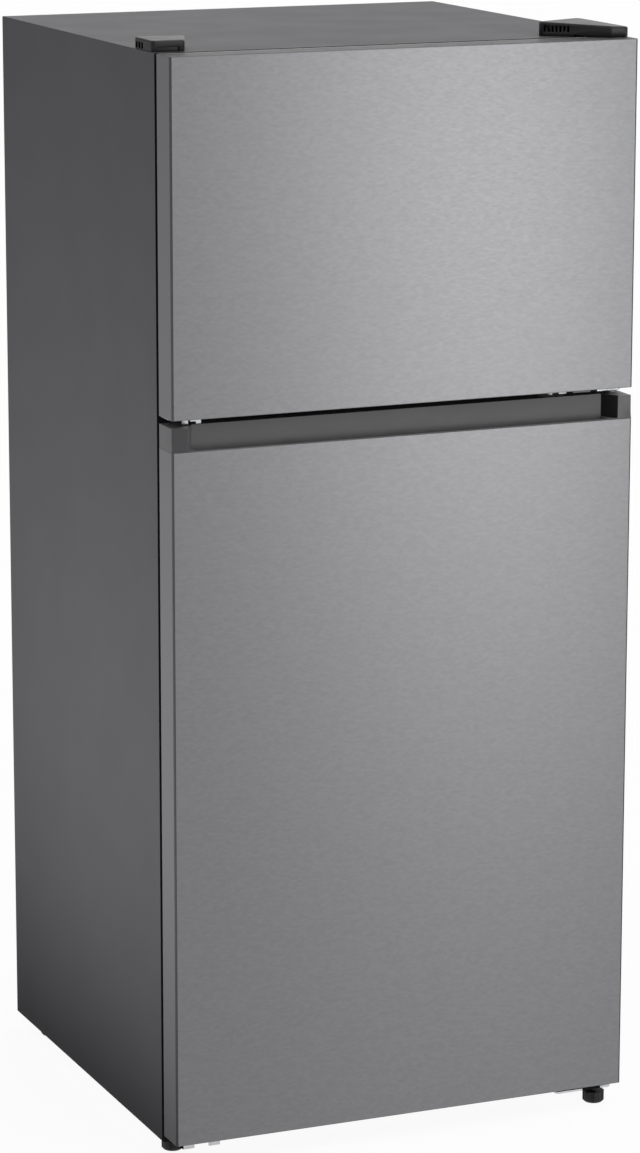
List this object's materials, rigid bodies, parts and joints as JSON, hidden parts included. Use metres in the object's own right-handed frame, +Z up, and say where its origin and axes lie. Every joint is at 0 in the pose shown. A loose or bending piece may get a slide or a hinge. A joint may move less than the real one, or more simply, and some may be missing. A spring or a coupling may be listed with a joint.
{
  "type": "top freezer refrigerator",
  "caption": "Free-standing top-freezer refrigerator: stainless doors on right-hand hinges, recessed handle trim, shelves, sliding crispers, door bins and a rear machine room.",
  "frame": {"origin": "centre of the overall box, on the floor", "axes": "+Z up; the doors face -Y; +X towards the hinge side, on the right seen from the front"},
  "size_m": [0.75, 0.7374, 1.7002],
  "materials": {
    "case_paint": "satin",
    "galvanised_steel": "satin",
    "stainless_steel": "satin",
    "handle_plastic": "satin",
    "cover_plastic": "satin",
    "cap_plastic": "satin",
    "foam": "matte",
    "white_liner": "gloss",
    "gasket_vinyl": "matte",
    "clear_plastic": "gloss",
    "shelf_glass": "gloss",
    "white_wire": "satin",
    "dial_plastic": "satin",
    "lamp_lens": "satin",
    "black_enamel": "satin",
    "copper": "satin",
    "aluminium": "satin",
    "black_rubber": "matte",
    "black_plastic": "satin",
    "nylon": "satin",
    "zinc_steel": "satin"
  },
  "bodies": {
    "cabinet": {"left_side_panel": "case_paint", "right_side_panel": "case_paint", "top_panel": "case_paint", "center_rail": "case_paint", "rear_panel": "galvanised_steel", "base_panel": "galvanised_steel", "compressor_base": "galvanised_steel", "insulation_foam": "foam", "freezer_liner": "white_liner", "fridge_liner": "white_liner", "freezer_back_cover": "white_liner", "control_housing": "white_liner", "shelf_trims": "white_liner", "top_hinge_bracket": "zinc_steel", "middle_hinge_bracket": "zinc_steel", "bottom_hinge_bracket": "zinc_steel", "left_foot_bracket": "zinc_steel", "hinge_pins": "zinc_steel", "screws": "zinc_steel", "roller_brackets": "zinc_steel", "top_hinge_cover": "cover_plastic", "top_left_cover": "cover_plastic", "shelf_glass": "shelf_glass", "lamp_lens": "lamp_lens", "freezer_shelf": "white_wire", "evaporator": "aluminium", "fan_motors": "black_enamel", "compressor": "black_enamel", "compressor_grommets": "black_rubber", "condenser_coil": "black_enamel", "refrigerant_lines": "copper", "drain_pan": "black_plastic", "rear_cover": "black_plastic", "cord_gland": "black_plastic"},
    "freezer_door": {"freezer_door_skin": "stainless_steel", "freezer_door_liner": "white_liner", "freezer_door_foam": "foam", "freezer_door_gasket": "gasket_vinyl", "freezer_door_end_caps": "cap_plastic", "freezer_door_bins": "clear_plastic", "freezer_door_bushes": "nylon", "freezer_door_stops": "zinc_steel"},
    "fridge_door": {"fridge_door_skin": "stainless_steel", "fridge_door_liner": "white_liner", "fridge_door_foam": "foam", "fridge_door_gasket": "gasket_vinyl", "fridge_handle_trim": "handle_plastic", "fridge_door_bottom_cap": "cap_plastic", "fridge_door_bins": "clear_plastic", "fridge_door_bushes": "nylon"},
    "left_crisper": {"left_crisper": "clear_plastic"},
    "right_crisper": {"right_crisper": "clear_plastic"},
    "temperature_dial": {"temperature_dial": "dial_plastic"},
    "light_switch_button": {"light_switch_button": "nylon"},
    "evaporator_fan": {"evaporator_fan": "nylon"},
    "condenser_fan": {"condenser_fan": "black_plastic"},
    "left_foot": {"left_foot": "black_plastic"},
    "right_foot": {"right_foot": "black_plastic"},
    "left_roller": {"left_roller": "black_plastic"},
    "right_roller": {"right_roller": "black_plastic"}
  },
  "joints": [
    {"name": "freezer_door_hinge", "type": "hinge", "parent": "cabinet", "child": "freezer_door", "pos_m": [0.35756, -0.3313, 1.1506], "axis": [0, 0, 1], "range_deg": [0, 105]},
    {"name": "fridge_door_hinge", "type": "hinge", "parent": "cabinet", "child": "fridge_door", "pos_m": [0.35756, -0.3313, 0.0372], "axis": [0, 0, 1], "range_deg": [0, 105]},
    {"name": "left_crisper_slide", "type": "slide", "parent": "cabinet", "child": "left_crisper", "axis": [0, -1, 0], "range_m": [0, 0.082]},
    {"name": "right_crisper_slide", "type": "slide", "parent": "cabinet", "child": "right_crisper", "axis": [0, -1, 0], "range_m": [0, 0.082]},
    {"name": "temperature_dial_turn", "type": "hinge", "parent": "cabinet", "child": "temperature_dial", "pos_m": [-0.065, -0.1768, 1.0602], "axis": [0, 0, 1], "range_deg": [-135, 135]},
    {"name": "light_switch_press", "type": "slide", "parent": "cabinet", "child": "light_switch_button", "axis": [0, -1, 0], "range_m": [0, 0.006]},
    {"name": "evaporator_fan_spin", "type": "hinge", "parent": "cabinet", "child": "evaporator_fan", "pos_m": [0, 0.2502, 1.5286], "axis": [0, 1, 0], "continuous": true},
    {"name": "condenser_fan_spin", "type": "hinge", "parent": "cabinet", "child": "condenser_fan", "pos_m": [0.008, 0.2507, 0.148], "axis": [1, 0, 0], "continuous": true},
    {"name": "left_foot_turn", "type": "hinge", "parent": "cabinet", "child": "left_foot", "pos_m": [-0.346, -0.2757, 0], "axis": [0, 0, 1], "continuous": true},
    {"name": "right_foot_turn", "type": "hinge", "parent": "cabinet", "child": "right_foot", "pos_m": [0.346, -0.3332, 0], "axis": [0, 0, 1], "continuous": true},
    {"name": "left_roller_spin", "type": "hinge", "parent": "cabinet", "child": "left_roller", "pos_m": [-0.344, 0.3047, 0.022], "axis": [1, 0, 0], "continuous": true},
    {"name": "right_roller_spin", "type": "hinge", "parent": "cabinet", "child": "right_roller", "pos_m": [0.344, 0.3047, 0.022], "axis": [1, 0, 0], "continuous": true}
  ],
  "couplings": [
    {"joint": "light_switch_press", "follows": "fridge_door_hinge", "m_per_rad": 0.003273}
  ]
}
